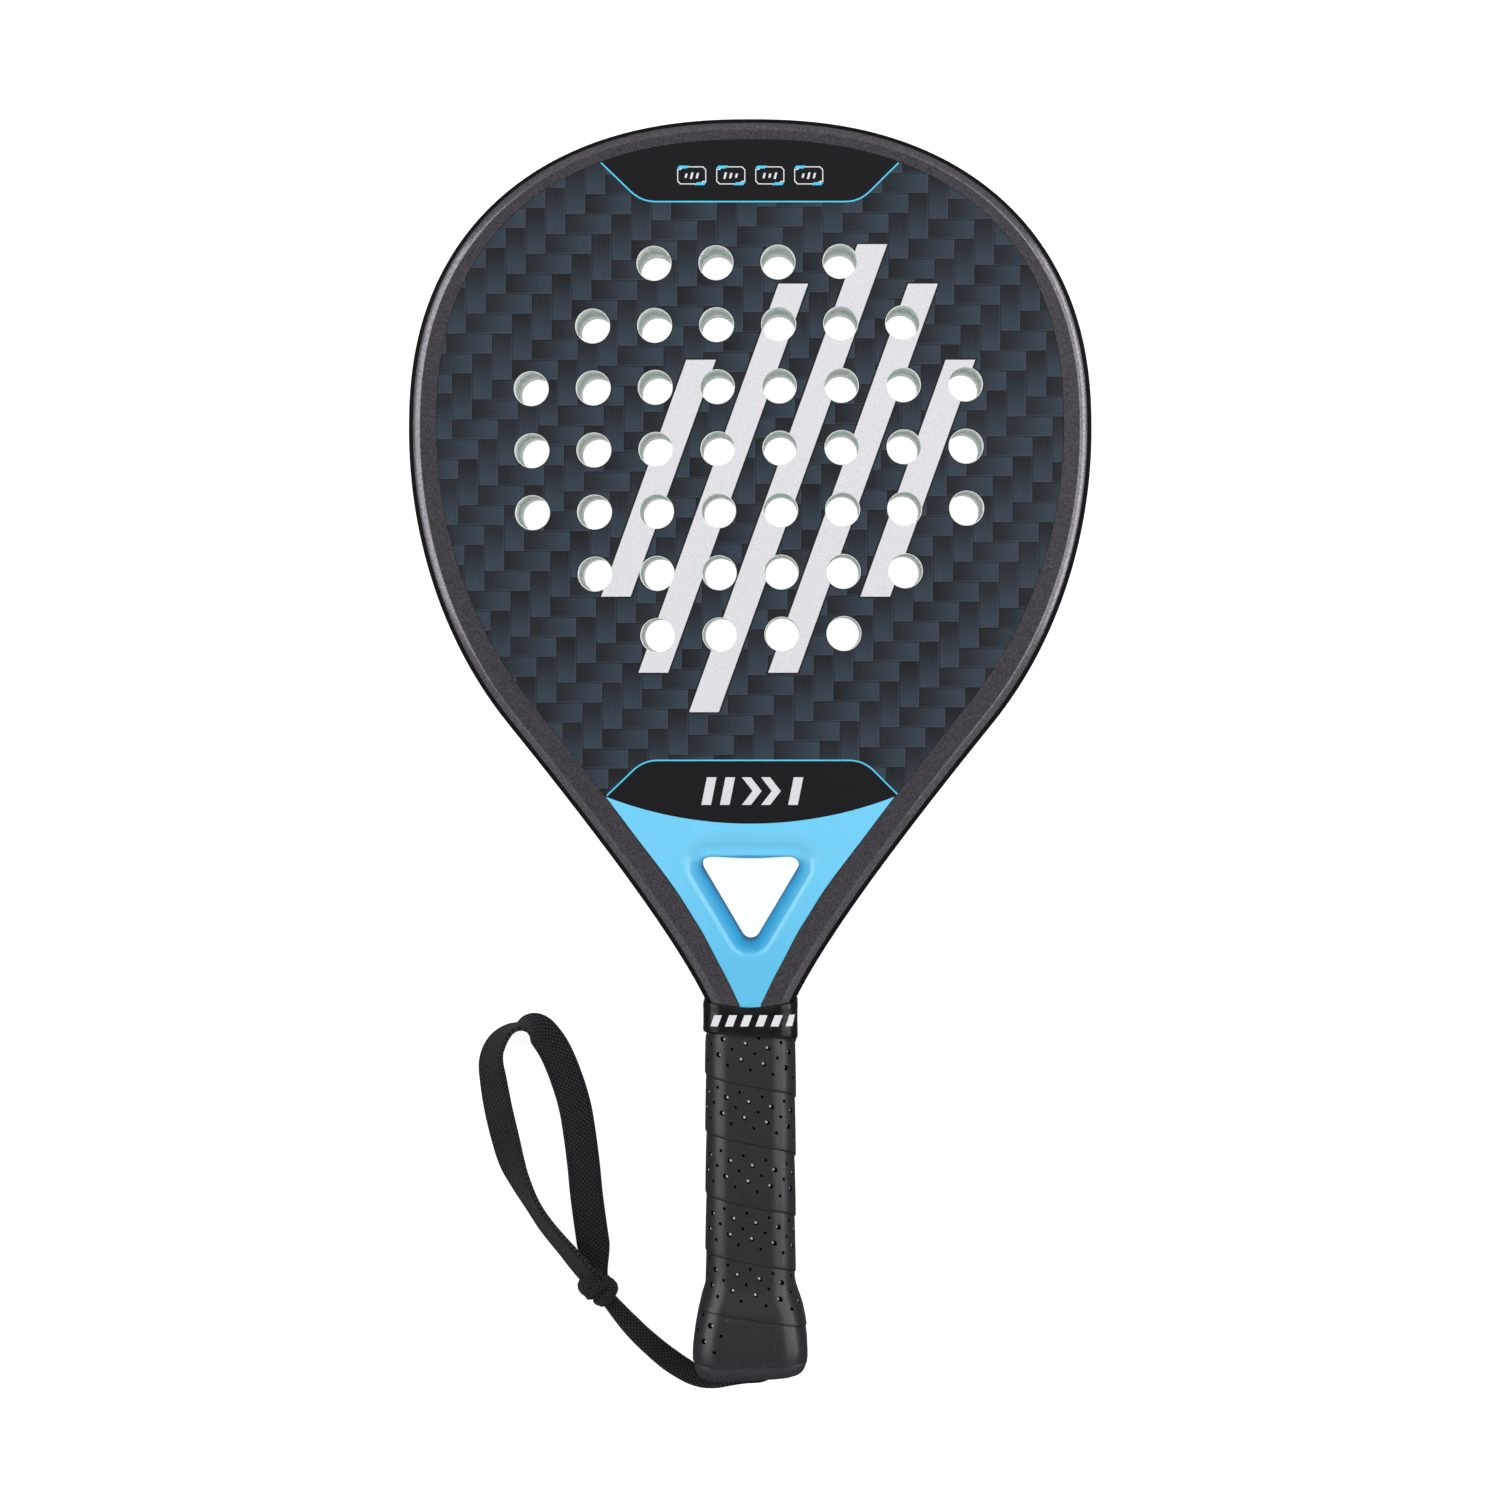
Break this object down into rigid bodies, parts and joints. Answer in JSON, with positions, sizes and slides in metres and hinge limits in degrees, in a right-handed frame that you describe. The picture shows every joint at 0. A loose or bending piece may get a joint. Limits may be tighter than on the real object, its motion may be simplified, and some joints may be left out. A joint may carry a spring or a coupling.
{
  "type": "padel racket",
  "caption": "Padel racket with a hollow hoop round a perforated foam core, woven faces, an open throat yoke, a wrapped handle with butt cap and a knotted wrist lace.",
  "frame": {"origin": "under the middle of the racket's own box, on the surface that its back face lies on; the wrist lace isn't counted", "axes": "+X across the head, +Y from the butt to the crown of the head, +Z out of the front face"},
  "size_m": [0.243, 0.4593, 0.036],
  "materials": {
    "frame_paint": "dark grey metallic lacquer",
    "woven_face": "woven fibre look under satin lacquer",
    "core_foam": "pale matt foam",
    "yoke_paint": "light blue satin lacquer",
    "handle_foam": "rigid cast foam",
    "grip_tape": "satin perforated wrap",
    "finishing_tape": "thin black film",
    "collar_rubber": "smooth shiny black",
    "butt_cap": "moulded black",
    "lace_weave": "flat braided black lace"
  },
  "bodies": {
    "root": {"frame_tube": "frame_paint", "front_face": "woven_face", "back_face": "woven_face", "foam_core": "core_foam", "throat_yoke": "yoke_paint", "handle_filler": "handle_foam", "grip_tape": "grip_tape", "finishing_tape": "finishing_tape", "grip_collar": "collar_rubber", "butt_cap": "butt_cap", "lace_stop_knot": "lace_weave", "lace_stem": "lace_weave", "lace_knot": "lace_weave", "lace_loop": "lace_weave"}
  },
  "joints": []
}
